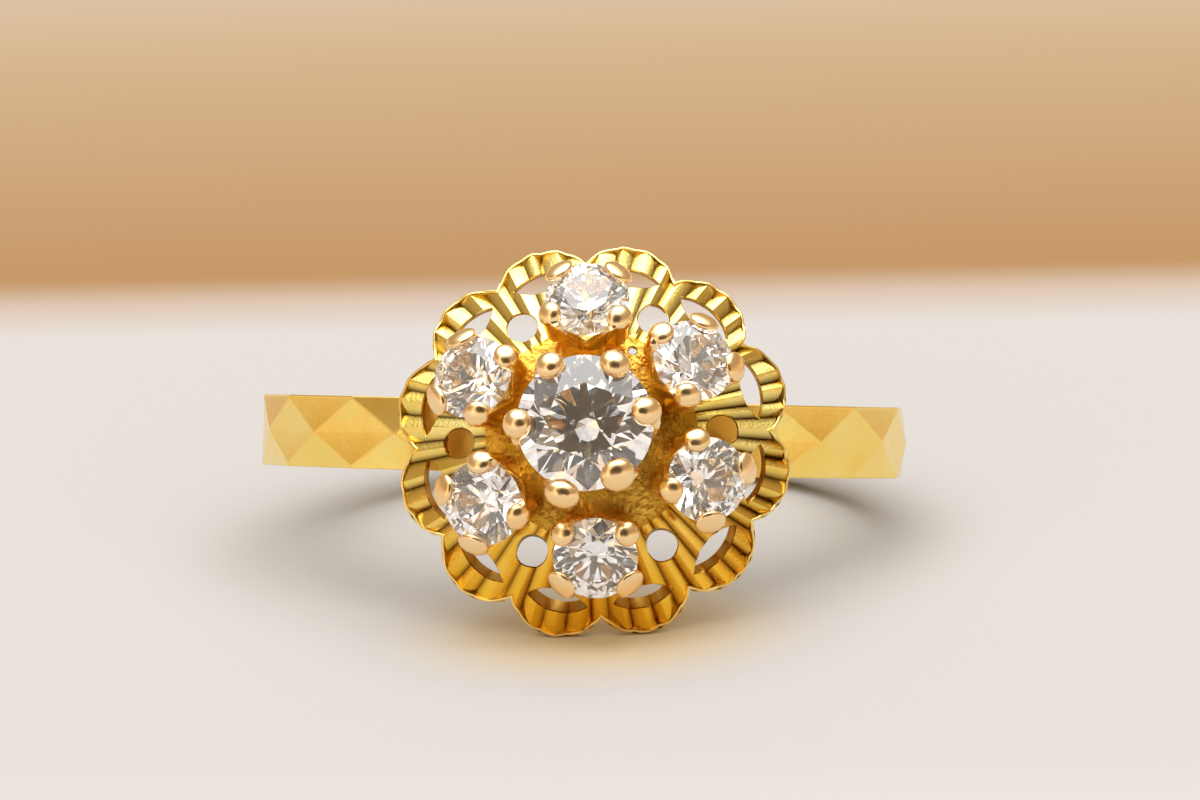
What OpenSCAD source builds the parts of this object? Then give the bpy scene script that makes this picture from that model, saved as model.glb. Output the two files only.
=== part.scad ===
// Cluster ring: one round stone in a raised claw crown and six smaller ones in leaning
// claw cups, on a domed, fluted and pierced rosette with twelve lobes, soldered to a
// narrow finger band cut with flat facets. It lies as it rests by itself, on its lobes
// and on the back of its band. Lengths are in millimetres and angles in degrees.

/* [Stones] */
// Diameter of the centre stone
centre_d = 3.85; // [3.6:0.05:3.9]
// Diameter of each side stone
side_d = 2.4; // [2.2:0.05:2.45]
// Height of the centre stone's girdle above the round holes
centre_h = 3.1; // [3:0.05:3.4]
// Height of a side stone's girdle above the round holes
side_h = 1.5; // [1.4:0.05:1.7]
// Outward lean of each side stone
side_lean = 25; // [20:1:28]
// Gap left between a stone and the gold that holds it
stone_gap = 0.03; // [0.02:0.01:0.05]

/* [Finger band] */
// Inside diameter of the finger band
finger_d = 17; // [15.5:0.1:18.5]
// Width of the finger band
band_w = 2.1; // [1.8:0.1:2.4]
// Thickness of the finger band at the corners of its facets
band_t = 1.15; // [1:0.05:1.3]
// Number of rhombus facets round the finger band
band_cuts = 18; // [16:1:20]

/* [Rosette] */
// Distance across the lobes of the rosette
rosette_d = 11.5; // [11.3:0.1:11.7]
// Thickness of the rosette's plate
plate_t = 0.4; // [0.35:0.05:0.5]
// Slope of the rosette's skirt, where the flutes and windows are
skirt_slope = 33; // [30:1:36]
// Depth of the flutes near the edge
flute_depth = 0.14; // [0.08:0.01:0.16]
// Width of the plain rim that runs round the lobes
rim_w = 0.13; // [0.1:0.01:0.2]
// Diameter of the arc that rounds off each lobe
lobe_d = 2.98; // [2.94:0.02:3.06]
// Length of each almond window, from point to point
window_w = 1.85; // [1.7:0.05:1.9]
// Diameter of the round holes
hole_d = 0.9; // [0.7:0.05:1]
// Diameter of the ring on which the round holes lie
hole_ring_d = 7.3; // [7.2:0.05:7.4]

/* [Claws] */
// Diameter of the rounded tips on the centre stone
centre_tip_d = 0.92; // [0.84:0.02:0.96]
// Diameter of the rounded tips on the side stones
side_tip_d = 0.66; // [0.6:0.02:0.7]
// Wall of the crown and of the cups
cup_wall = 0.22; // [0.18:0.01:0.26]

/* [Pose] */
// Upward tilt of the head from the plane of the finger band
head_tilt = 7; // [4:0.5:8]
// Turn of the head on the finger band, counter-clockwise from the front
head_twist = 3.6; // [2:0.2:4]
// Swing of the head to the left on the finger band, seen from the front
head_swing = 4; // [0:0.5:5]
// Turn of the head from upright as the ring lies, counter-clockwise from the front
rest_roll = 1; // [0.5:0.05:2]

/* [Hidden] */
$fn = 72;

gold_colour = [0.86, 0.66, 0.2];
stone_colour = [0.9, 0.93, 0.96];

// Places in the head are given with x to the right, y up and z out of the face, and
// with zero height at the middle of the round holes.

// Side stones, clockwise from the top one as seen from the front
// Columns: direction, distance from the head's axis, directions of its four claws
// counted from the outward side
SIDES = [
    [88.5, 3.72, [42, 118, -129, -48]],
    [31, 3.53, [41, 112, -138, -40]],
    [-26, 3.62, [40, 133, -142, -63]],
    [-90, 3.66, [51, 128, -133, -56]],
    [-148, 3.67, [41, 128, -127, -54]],
    [153, 3.65, [56, 128, -133, -49]]
];

// Claws of the centre stone
// Columns: direction, distance of the tip from the stone's axis
CENTRE_CLAWS = [
    [7, 1.74], [60, 1.83], [119, 1.87], [179, 1.9], [250, 2.12], [299, 1.76]
];
// Shift of the centre stone's axis from the head's axis
centre_shift = [-0.06, 0];

// Proportions of a round brilliant, as parts of its diameter
table_part = 0.56;
girdle_part = 0.03;
crown_slope = 34.5;
pavilion_slope = 40.8;
// Distance of the star points and of the lower corners from the axis, as parts of
// the radius
star_part = 0.78;
lower_part = 0.24;
// How far the facets run past the round girdle before it is cut
facet_over = 1.015;

lobes = 12;
lobe_step = 360 / lobes;
lobe_first = lobe_step / 2;
flutes = 48;
// Turn of the flutes, so that none of their edges runs into a corner between two lobes
flute_turn = 0.9;
holes = 6;
hole_ring_r = hole_ring_d / 2;
rosette_r = rosette_d / 2;
lobe_r = lobe_d / 2;
// Place of each lobe's arc, on the slope of the skirt
lobe_at = rosette_r - lobe_r * cos(skirt_slope);
// Rise of the plain rim above the ridges of the flutes, and how far it overlaps them
rim_rise = 0.04;
rim_lap = 0.05;
// Reach of the window from the lobe's middle, up and down the slope
window_outer = 0.63;
window_point = 0.31;
window_inner = -0.08;
// Height at which the skirt's slope would meet the axis
skirt_top = hole_ring_r * tan(skirt_slope);
// The cap of the dome takes over from the skirt here
cap_edge_r = 3.2;
cap_r = 9;
cap_z = skirt_top - cap_edge_r * tan(skirt_slope) - sqrt(cap_r * cap_r - cap_edge_r * cap_edge_r);
// Lowest level of the solids from which the plate is cut
plate_low = -3;
fluted_r = 6.2;
// Round block inside the lobes, and the span of the lobes' own blocks on the slope
core_r = 4.7;
core_h = 5;
lobe_z = [-2, 1];
// Span across the plate of the cutters of windows and holes
cut_z = [-1.2, 0.8];
// A small gap in the plate between two cups
pin_hole_d = 0.3;
pin_hole_at = [2.66, 61];
pin_hole_z = [-1, 2];

finger_r = finger_d / 2;
band_mid_r = finger_r + band_t;
// The facets' corners on the band's edges lie a little further in
band_edge_in = 0.05;
band_edge_r = band_mid_r - band_edge_in;
// Direction of the first facet corner on the band's middle line
band_first = 4;
band_step = 360 / band_cuts;
// The band's front reaches this level behind the rosette
band_front_z = -0.5;
pad_r = 1.7;
pad_z = [-1.05, 0.6];

// Crown and cups
// Columns of a holder: radius at its foot, radius at the girdle, depth of its foot
// below the girdle, depth of the notch's point, half width of the notch at the top,
// radius of a claw's stem, depth and distance from the axis of its foot, height of
// the tip's middle
CROWN = [1.3, 2.08, 2.65, 1.35, 0.72, 0.31, 1.9, 1.42, 0.26];
CUP = [0.75, 1.33, 1.62, 0.95, 0.74, 0.24, 1.0, 0.98, 0.18];
cup_tip_at = 1.2;
// Radius of a claw's foot as a part of its radius at the tip
claw_taper = 1.25;
// How far the walls run up past the girdle, before the notches are cut
wall_up = 0.2;
notch_over = 0.1;
// Thickness of the floor of the crown and of the cups
floor_t = 0.4;
// Open room above the table of a stone
room_above = 0.6;

// Height at x, y of the plane through three points
function plane_z(p, q, r, x, y) =
    let (n = cross(q - p, r - p)) p[2] - (n[0] * (x - p[0]) + n[1] * (y - p[1])) / n[2];

function polar(r, a, z) = [r * cos(a), r * sin(a), z];

// Radius of an arc from half its chord and its rise
function arc_r(half, rise) = (half * half + rise * rise) / (2 * rise);

// Round brilliant, table up, with the middle of its girdle at the origin
module brilliant(d) {
    r = d / 2;
    g = d * girdle_part / 2;
    over = r * facet_over;
    table_r = r * table_part;
    star_r = r * star_part;
    lower_r = r * lower_part;
    table_z = g + (r - table_r) * tan(crown_slope);
    star_z = g + (r - star_r * cos(22.5)) * tan(crown_slope);
    lower_z = -g - (r - lower_r * cos(22.5)) * tan(pavilion_slope);
    culet_z = -g - r * tan(pavilion_slope);
    upper = [polar(star_r, 22.5, star_z), polar(r, 0, g), polar(r, 22.5, g)];
    under = [polar(lower_r, 22.5, lower_z), polar(r, 0, -g), polar(r, 22.5, -g)];
    edge = polar(over, 22.5, 0);
    points = concat(
        [for (k = [0:7]) polar(table_r, k * 45, table_z)],
        [for (k = [0:7]) polar(star_r, k * 45 + 22.5, star_z)],
        [for (k = [0:7]) polar(r, k * 45, g)],
        [for (k = [0:7]) polar(over, k * 45, plane_z(upper[0], upper[1], upper[2], over, 0))],
        [for (k = [0:7])
            polar(over, k * 45 + 22.5, plane_z(upper[0], upper[1], upper[2], edge[0], edge[1]))],
        [for (k = [0:7]) polar(over, k * 45, plane_z(under[0], under[1], under[2], over, 0))],
        [for (k = [0:7])
            polar(over, k * 45 + 22.5, plane_z(under[0], under[1], under[2], edge[0], edge[1]))],
        [for (k = [0:7]) polar(r, k * 45, -g)],
        [for (k = [0:7]) polar(lower_r, k * 45 + 22.5, lower_z)],
        [[0, 0, culet_z]]
    );
    // First point of each ring of eight, and the last point
    table = 0;
    star = 8;
    upper_corner = 16;
    belt_a = 24;
    belt_b = 32;
    low_belt_a = 40;
    low_belt_b = 48;
    low_corner = 56;
    lower = 64;
    culet = 72;
    faces = concat(
        [[for (k = [7:-1:0]) table + k]],
        [for (k = [0:7]) let (n = (k + 1) % 8) [table + k, table + n, star + k]],
        [for (k = [0:7]) let (p = (k + 7) % 8)
            [table + k, star + k, upper_corner + k, star + p]],
        [for (k = [0:7]) [star + k, belt_b + k, belt_a + k, upper_corner + k]],
        [for (k = [0:7]) let (n = (k + 1) % 8)
            [star + k, upper_corner + n, belt_a + n, belt_b + k]],
        [for (k = [0:7]) [belt_a + k, belt_b + k, low_belt_b + k, low_belt_a + k]],
        [for (k = [0:7]) let (n = (k + 1) % 8)
            [belt_b + k, belt_a + n, low_belt_a + n, low_belt_b + k]],
        [for (k = [0:7]) [low_belt_a + k, low_belt_b + k, lower + k, low_corner + k]],
        [for (k = [0:7]) let (n = (k + 1) % 8)
            [low_belt_b + k, low_belt_a + n, low_corner + n, lower + k]],
        [for (k = [0:7]) let (p = (k + 7) % 8)
            [low_corner + k, lower + k, culet, lower + p]]
    );
    intersection() {
        polyhedron(points, faces, convexity = 2);
        translate([0, 0, culet_z - 1]) cylinder(h = table_z - culet_z + 2, r = r);
    }
}

// Room that is cut for a stone, a little larger than the stone
module stone_room(d) {
    r = d / 2 + stone_gap;
    g = d * girdle_part / 2 + stone_gap;
    table_r = d * table_part / 2 + stone_gap;
    star_r = d * star_part / 2 + stone_gap;
    table_z = g + (r - table_r) * tan(crown_slope);
    star_z = g + (r - star_r * cos(22.5)) * tan(crown_slope);
    rotate_extrude() polygon([
        [0, -g - r * tan(pavilion_slope)],
        [r, -g],
        [r, g],
        [star_r, star_z],
        [table_r, table_z],
        [table_r, table_z + room_above],
        [0, table_z + room_above]
    ]);
}

// Frame of a lobe: x up the slope to the edge, y along it and z out of the plate
module on_skirt(direction, distance) {
    rotate([0, 0, direction])
        translate([distance, 0, skirt_top - distance * tan(skirt_slope)])
            rotate([0, skirt_slope, 0]) children();
}

// Lobed block, cut square to the skirt, with its lobes drawn in by a margin
module lobed(margin) {
    translate([0, 0, plate_low]) cylinder(h = core_h, r = core_r);
    for (k = [0:lobes - 1])
        on_skirt(lobe_first + k * lobe_step, lobe_at) translate([0, 0, lobe_z[0]])
            cylinder(h = lobe_z[1] - lobe_z[0], r = lobe_r - margin);
}

// Plain cone under the same slope as the flutes' ridges
module skirt_cone(top) {
    translate([0, 0, plate_low - 1])
        cylinder(h = top - plate_low + 1, r1 = (top - plate_low + 1) / tan(skirt_slope), r2 = 0);
}

// Cone with straight flutes that fan out from its top
module fluted_cone() {
    ring = [for (i = [0:2 * flutes - 1]) i];
    valley = tan(skirt_slope) + flute_depth / cos(skirt_slope) / lobe_at;
    points = concat(
        [[0, 0, skirt_top]],
        [for (i = ring)
            let (fall = i % 2 == 0 ? tan(skirt_slope) : valley)
            polar(fluted_r, flute_turn + i * 180 / flutes, skirt_top - fluted_r * fall)],
        [for (i = ring) polar(fluted_r, flute_turn + i * 180 / flutes, plate_low)]
    );
    n = 2 * flutes;
    faces = concat(
        [for (i = ring) [0, 1 + (i + 1) % n, 1 + i]],
        [for (i = ring) [1 + i, 1 + (i + 1) % n, 1 + n + (i + 1) % n, 1 + n + i]],
        [[for (i = ring) 1 + n + i]]
    );
    polyhedron(points, faces, convexity = 4);
}

// Hollow under the plate
module plate_back() {
    intersection() {
        skirt_cone(skirt_top - plate_t / cos(skirt_slope));
        translate([0, 0, cap_z]) sphere(r = cap_r - plate_t);
    }
}

// Round cutter through the plate
module cutter(r) {
    translate([0, 0, cut_z[0]]) cylinder(h = cut_z[1] - cut_z[0], r = r);
}

// Almond window between two arcs, cut square to the plate
module window() {
    half = window_w / 2;
    outer = arc_r(half, window_outer - window_point);
    inner = arc_r(half, window_point - window_inner);
    intersection() {
        translate([window_outer - outer, 0, 0]) cutter(outer);
        translate([window_inner + inner, 0, 0]) cutter(inner);
    }
}

module rosette() {
    difference() {
        union() {
            intersection() {
                fluted_cone();
                translate([0, 0, cap_z]) sphere(r = cap_r);
                lobed(rim_w - rim_lap);
            }
            intersection() {
                skirt_cone(skirt_top + rim_rise);
                difference() {
                    lobed(0);
                    lobed(rim_w);
                }
            }
        }
        plate_back();
        for (k = [0:lobes - 1]) on_skirt(lobe_first + k * lobe_step, lobe_at) window();
        for (k = [0:holes - 1]) on_skirt(k * 360 / holes, hole_ring_r) cutter(hole_d / 2);
        rotate([0, 0, pin_hole_at[1]])
            translate([pin_hole_at[0], 0, pin_hole_z[0]])
                cylinder(h = pin_hole_z[1] - pin_hole_z[0], d = pin_hole_d);
    }
}

// Claw with a round tip, leaning out from its foot
module claw(direction, holder, tip_at, tip_d) {
    foot = [holder[7], -holder[6]];
    reach = [tip_at, holder[8]] - foot;
    rotate([0, 0, direction]) {
        translate([foot[0], 0, foot[1]])
            rotate([0, atan2(reach[0], reach[1]), 0])
                cylinder(h = norm(reach), r1 = holder[5] * claw_taper, r2 = holder[5]);
        translate([tip_at, 0, holder[8]]) sphere(d = tip_d);
    }
}

// Hollow cone with a pointed notch between each pair of claws
module notched_cone(holder, directions) {
    depth = holder[2];
    rise = depth + wall_up;
    flare = (holder[1] - holder[0]) / depth;
    count = len(directions);
    notch_z = wall_up + notch_over;
    difference() {
        translate([0, 0, -depth])
            cylinder(h = rise, r1 = holder[0], r2 = holder[0] + flare * rise);
        translate([0, 0, -depth + floor_t])
            cylinder(h = rise, r1 = holder[0] - cup_wall + flare * floor_t,
                r2 = holder[0] - cup_wall + flare * (rise + floor_t));
        for (k = [0:count - 1])
            let (
                here = directions[k],
                next = directions[(k + 1) % count],
                turn = (next - here + 720) % 360
            )
            rotate([0, 0, here + turn / 2]) rotate([90, 0, 90])
                linear_extrude(height = 2 * holder[1])
                    polygon([[0, -holder[3]], [holder[4], notch_z], [-holder[4], notch_z]]);
    }
}

module centre_frame() {
    translate([centre_shift[0], centre_shift[1], centre_h]) children();
}

module side_frame(side) {
    rotate([0, 0, side[0]]) translate([side[1], 0, side_h]) rotate([0, side_lean, 0]) children();
}

module centre_setting() {
    notched_cone(CROWN, [for (c = CENTRE_CLAWS) c[0]]);
    for (c = CENTRE_CLAWS) claw(c[0], CROWN, c[1], centre_tip_d);
}

module side_setting(side) {
    notched_cone(CUP, side[2]);
    for (direction = side[2]) claw(direction, CUP, cup_tip_at, side_tip_d);
}

// Corners of the band's facets, with its axis along z and the head towards -y
function band_point(r, k, z) = [r * sin(k), -r * cos(k), z];
function band_edge(z) =
    [for (k = [0:band_cuts - 1])
        band_point(band_edge_r, band_first + (k + 0.5) * band_step, z)];
function band_middle() =
    [for (k = [0:band_cuts - 1]) band_point(band_mid_r, band_first + k * band_step, 0)];

// Finger band: triangles along both edges and creased rhombuses between them
module band() {
    n = band_cuts;
    points = concat(band_edge(band_w / 2), band_middle(), band_edge(-band_w / 2));
    ring = [for (k = [0:n - 1]) k];
    faces = concat(
        [[for (k = ring) n - 1 - k]],
        [for (k = ring) [(k + n - 1) % n, k, n + k]],
        [for (k = ring) [k, n + (k + 1) % n, n + k]],
        [for (k = ring) [n + k, n + (k + 1) % n, 2 * n + k]],
        [for (k = ring) [2 * n + (k + n - 1) % n, n + k, 2 * n + k]],
        [[for (k = ring) 2 * n + k]]
    );
    difference() {
        polyhedron(points, faces, convexity = 2);
        cylinder(h = 2 * band_w, r = finger_r, center = true);
    }
}

// Puts the band behind the head
module behind_head() {
    rotate([0, 0, -head_twist]) translate([0, 0, band_front_z])
        rotate([head_tilt, head_swing, 0]) translate([0, 0, -band_mid_r])
            rotate([-90, 0, 0]) children();
}

// The same for a point of the band
function turn_x(p, a) = [p[0], p[1] * cos(a) - p[2] * sin(a), p[1] * sin(a) + p[2] * cos(a)];
function turn_y(p, a) = [p[0] * cos(a) + p[2] * sin(a), p[1], p[2] * cos(a) - p[0] * sin(a)];
function turn_z(p, a) = [p[0] * cos(a) - p[1] * sin(a), p[0] * sin(a) + p[1] * cos(a), p[2]];
function behind_head_at(p) =
    let (back = turn_x(p, -90) - [0, 0, band_mid_r])
    turn_z(turn_y(turn_x(back, head_tilt), head_swing) + [0, 0, band_front_z], -head_twist);

// Resting pose: the head is lifted until its lowest lobe and the back of the band
// reach the same level
function up(lift) = turn_z([0, cos(lift), sin(lift)], -rest_roll);
function lobe_low(u) =
    min([for (k = [0:lobes - 1])
        let (
            a = lobe_first + k * lobe_step,
            out = polar(sin(skirt_slope), a, cos(skirt_slope)),
            middle = polar(lobe_at, a, skirt_top - lobe_at * tan(skirt_slope))
        )
        u * middle - lobe_r * norm(cross(u, out))]);
function band_low(u) = min([for (p = band_edge(-band_w / 2)) u * behind_head_at(p)]);
function rest_lift(low = 5, high = 35, steps = 24) =
    let (mid = (low + high) / 2, u = up(mid))
    steps == 0 ? mid
        : lobe_low(u) < band_low(u) ? rest_lift(mid, high, steps - 1)
        : rest_lift(low, mid, steps - 1);
lift = rest_lift();

// The ring is turned on the surface until the band's middle is straight behind its front
function set_down(p) = turn_x(turn_z(p, rest_roll), 90 - lift);
band_run = set_down(behind_head_at([0, 0, 0])) - set_down([0, 0, band_front_z]);
heading = 90 - atan2(band_run[1], band_run[0]);
function rest_at(p) = turn_z(set_down(p), heading);

// Middle of the whole ring from side to side and from front to back
claw_tips = [for (c = CENTRE_CLAWS)
    rest_at(polar(c[1], c[0], CROWN[8]) + [centre_shift[0], centre_shift[1], centre_h])];
band_ends = [for (p = concat(band_edge(band_w / 2), band_middle())) rest_at(behind_head_at(p))];
front_y = min([for (p = claw_tips) p[1] - centre_tip_d / 2]);
back_y = max([for (p = band_ends) p[1]]);
side_x = [min([for (p = band_ends) p[0]]), max([for (p = band_ends) p[0]])];

// Sets the ring down as it rests, with the face towards -y
module at_rest() {
    translate([-(side_x[0] + side_x[1]) / 2, -(front_y + back_y) / 2, -lobe_low(up(lift))])
        rotate([0, 0, heading]) rotate([90 - lift, 0, 0]) rotate([0, 0, rest_roll]) children();
}

module gold_ring() {
    color(gold_colour) at_rest() difference() {
        union() {
            rosette();
            behind_head() band();
            translate([0, 0, pad_z[0]]) cylinder(h = pad_z[1] - pad_z[0], r = pad_r);
            centre_frame() centre_setting();
            for (side = SIDES) side_frame(side) side_setting(side);
        }
        centre_frame() stone_room(centre_d);
        for (side = SIDES) side_frame(side) stone_room(side_d);
    }
}

module centre_stone() {
    color(stone_colour) at_rest() centre_frame() brilliant(centre_d);
}

module side_stone(number) {
    color(stone_colour) at_rest() side_frame(SIDES[number - 1]) brilliant(side_d);
}

gold_ring();
centre_stone();
side_stone(1);  // side_stone_1
side_stone(2);  // side_stone_2
side_stone(3);  // side_stone_3
side_stone(4);  // side_stone_4
side_stone(5);  // side_stone_5
side_stone(6);  // side_stone_6
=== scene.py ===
import math
import random

import bmesh
import bpy
from mathutils import Matrix, Vector
from mathutils.geometry import delaunay_2d_cdt


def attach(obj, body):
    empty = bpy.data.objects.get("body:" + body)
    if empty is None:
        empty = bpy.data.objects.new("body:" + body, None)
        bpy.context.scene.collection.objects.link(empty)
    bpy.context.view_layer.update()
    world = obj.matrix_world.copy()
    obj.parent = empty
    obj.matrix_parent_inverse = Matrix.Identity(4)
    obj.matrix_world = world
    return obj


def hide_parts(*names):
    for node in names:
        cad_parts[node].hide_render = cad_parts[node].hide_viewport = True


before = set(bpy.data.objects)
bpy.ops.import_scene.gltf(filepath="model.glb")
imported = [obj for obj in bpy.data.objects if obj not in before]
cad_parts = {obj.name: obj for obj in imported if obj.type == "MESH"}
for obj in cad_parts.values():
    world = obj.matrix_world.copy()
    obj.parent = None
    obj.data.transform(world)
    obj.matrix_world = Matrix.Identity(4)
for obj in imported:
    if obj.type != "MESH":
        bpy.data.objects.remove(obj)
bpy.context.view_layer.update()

# Shapes are drawn in millimetres and then set into the row's frame, in metres. The frame of
# the head has x to the right, y up and z out of its face, with zero height at the middle of
# the round holes. The frame of the band has z along the finger hole.
MM = 0.001

# Place of the head's frame in the row, and its turns in degrees
HEAD_AT = (-0.0565397, -7.55407, 5.74049)
LIFT = 20.7043
HEADING = -3.75222
ROLL = 1.0
# Turns of the head on the band
HEAD_TWIST = 3.6
HEAD_TILT = 7
HEAD_SWING = 4

# Columns: direction, distance from the head's axis, directions of the four claws
SIDES = [
    (88.5, 3.72, (42, 118, -129, -48)),
    (31, 3.53, (41, 112, -138, -40)),
    (-26, 3.62, (40, 133, -142, -63)),
    (-90, 3.66, (51, 128, -133, -56)),
    (-148, 3.67, (41, 128, -127, -54)),
    (153, 3.65, (56, 128, -133, -49)),
]
# Columns: direction, distance of the tip from the stone's axis, and the width of the tip out
# from the stone and along the stone's edge, as parts of the usual one
CENTRE_CLAWS = [
    (7, 1.74, 1.0, 0.84), (60, 1.83, 0.88, 0.9), (119, 1.87, 0.86, 0.88),
    (179, 1.9, 0.87, 0.92), (250, 2.12, 0.86, 1.1), (299, 1.76, 0.96, 1.02),
]
CENTRE_D = 3.85
CENTRE_AT = (-0.06, 0, 3.1)
SIDE_D = 2.4
SIDE_H = 1.5
SIDE_LEAN = 25

ROSETTE_R = 5.75
# Slope of the skirt, which is the straight outer part of the dome
SLOPE = math.radians(33)
# The plate is thicker at the bottom than at the top
PLATE_T = 0.36
PLATE_SWELL = 0.42
LOBES = 12
LOBE_STEP = 360 / LOBES
LOBE_FIRST = LOBE_STEP / 2
LOBE_R = 1.49
LOBE_AT = ROSETTE_R - LOBE_R * math.cos(SLOPE)
HOLE_R = 0.47
HOLE_RING_R = 3.65
HOLE_AT = (3.72, 3.8, 3.72, 3.8, 3.7, 3.7)
HOLE_STEP = 360 / len(HOLE_AT)
PIN_HOLE_R = 0.15
# Distance and direction of the pin hole
PIN_HOLE_AT = (2.66, 61)
SKIRT_TOP = HOLE_RING_R * math.tan(SLOPE)
# Inside this radius the dome is left as it was cast, rougher, and its gold is painted darker as the
# painted shade of the crown
RAW_R = 3.03
# The middle of the dome is a round cap, which isn't looked at further out than its reach
CAP_R = 9
CAP_EDGE_R = 3.2
CAP_REACH = CAP_EDGE_R + 1
CAP_Z = SKIRT_TOP - CAP_EDGE_R * math.tan(SLOPE) - math.sqrt(CAP_R ** 2 - CAP_EDGE_R ** 2)

FINGER_R = 8.5
BAND_W = 2.1
# Radii of the band where its cuts cross in the middle, and of their corners at its edges
BAND_MID_R = 9.65
BAND_EDGE_R = 9.6
BAND_CUTS = 18
# Direction of the first crossing, and height of the band's outside in the head's frame
BAND_FIRST = 4
BAND_FRONT_Z = -0.5
PAD_R = 1.7
PAD_Z = (-1.05, 0.6)

# Seeds of the small unevenness
FLUTE_SEED = 11
WINDOW_SEED = 5
CROWN_SEED = 21
CUP_SEED = 30
BAND_SEED = 3
SPIN_SEED = 8


def turn(axis, degrees):
    return Matrix.Rotation(math.radians(degrees), 4, axis)


def shift(x, y, z):
    return Matrix.Translation((x, y, z))


HEAD = shift(*HEAD_AT) @ turn("Z", HEADING) @ turn("X", 90 - LIFT) @ turn("Z", ROLL)
BAND = (HEAD @ turn("Z", -HEAD_TWIST) @ shift(0, 0, BAND_FRONT_Z)
        @ turn("Y", HEAD_SWING) @ turn("X", HEAD_TILT)
        @ shift(0, 0, -BAND_MID_R) @ turn("X", -90))


def polar(r, degrees, z):
    a = math.radians(degrees)
    return Vector((r * math.cos(a), r * math.sin(a), z))


def centre_frame():
    return shift(*CENTRE_AT)


def side_frame(side):
    direction, distance, _ = side
    return turn("Z", direction) @ shift(distance, 0, SIDE_H) @ turn("Y", SIDE_LEAN)


def piece(bm, name, matrix, materials, nodes, sharp_deg=None):
    """Sets a mesh drawn in millimetres into the row's frame as a piece of the ring."""
    bmesh.ops.transform(bm, matrix=Matrix.Scale(MM, 4) @ matrix, verts=bm.verts)
    mesh = bpy.data.meshes.new(name)
    bm.to_mesh(mesh)
    bm.free()
    if sharp_deg is None:
        mesh.shade_flat()
    else:
        mesh.shade_smooth()
        mesh.set_sharp_from_angle(angle=math.radians(sharp_deg))
    for material in materials:
        mesh.materials.append(material)
    obj = bpy.data.objects.new(name, mesh)
    bpy.context.scene.collection.objects.link(obj)
    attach(obj, "root")
    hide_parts(*nodes)
    return obj


# Materials

def new_material(name):
    material = bpy.data.materials.new(name)
    material.use_nodes = True
    tree = material.node_tree
    return material, tree, tree.nodes["Principled BSDF"]


def noise(tree, scale, detail=3.0):
    node = tree.nodes.new("ShaderNodeTexNoise")
    node.inputs["Scale"].default_value = scale
    node.inputs["Detail"].default_value = detail
    place = tree.nodes.new("ShaderNodeTexCoord").outputs["Object"]
    tree.links.new(place, node.inputs["Vector"])
    return node.outputs["Fac"]


def ramp(tree, factor, stops):
    node = tree.nodes.new("ShaderNodeValToRGB")
    elements = node.color_ramp.elements
    while len(elements) < len(stops):
        elements.new(0.5)
    for element, (place, colour) in zip(elements, stops):
        element.position = place
        element.color = (*colour, 1)
    tree.links.new(factor, node.inputs["Fac"])
    return node.outputs["Color"]


def spread(tree, factor, low, high):
    node = tree.nodes.new("ShaderNodeMapRange")
    node.inputs["To Min"].default_value = low
    node.inputs["To Max"].default_value = high
    tree.links.new(factor, node.inputs["Value"])
    return node.outputs["Result"]


def along(tree, vector, x, y, z):
    """Length of a vector along a direction."""
    node = tree.nodes.new("ShaderNodeVectorMath")
    node.operation = "DOT_PRODUCT"
    node.inputs[1].default_value = (x, y, z)
    tree.links.new(vector, node.inputs[0])
    return node.outputs["Value"]


def soft_step(tree, value, start, end, low, high):
    node = tree.nodes.new("ShaderNodeMapRange")
    node.interpolation_type = "SMOOTHSTEP"
    for name, number in (("From Min", start), ("From Max", end), ("To Min", low), ("To Max", high)):
        node.inputs[name].default_value = number
    tree.links.new(value, node.inputs["Value"])
    return node.outputs["Result"]


def combine(tree, operation, first, second):
    node = tree.nodes.new("ShaderNodeMath")
    node.operation = operation
    tree.links.new(first, node.inputs[0])
    tree.links.new(second, node.inputs[1])
    return node.outputs["Value"]


def bump(tree, height, strength, distance):
    node = tree.nodes.new("ShaderNodeBump")
    node.inputs["Strength"].default_value = strength
    node.inputs["Distance"].default_value = distance
    tree.links.new(height, node.inputs["Height"])
    return node.outputs["Normal"]


def tint(tree, colour, tone, factor, blend="MULTIPLY"):
    """Colour multiplied by a tone, or mixed with it, as far as the factor says."""
    mix = tree.nodes.new("ShaderNodeMix")
    mix.data_type = "RGBA"
    mix.blend_type = blend
    mix.inputs["B"].default_value = (*tone, 1)
    tree.links.new(colour, mix.inputs["A"])
    tree.links.new(factor, mix.inputs["Factor"])
    return mix.outputs["Result"]


# The bottoms of the flutes are painted darker, as painted shade in the valleys. This vertex value says
# how much.
GROOVE_SHADE = "groove_shade"
# Scales of the slow colour changes and of the uneven polish of gold
COLOUR_SCALE = 700
POLISH_SCALE = 2600
# The painted shade near the floor, a deeper tone standing in for the darker warm floor that the gold
# reflects, fades out between these heights, in metres
FLOOR_SHADE_FADE = (0.0005, 0.0065)
# Gold that lies right behind the head is dull. It is in front of the first number, at most as
# far from the middle plane as the second, in metres, and as rough as the third. It sets in over
# the width of the edge.
BEHIND_HEAD = (-0.004, 0.0056, 0.6)
BEHIND_EDGE = 0.0005


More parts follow.
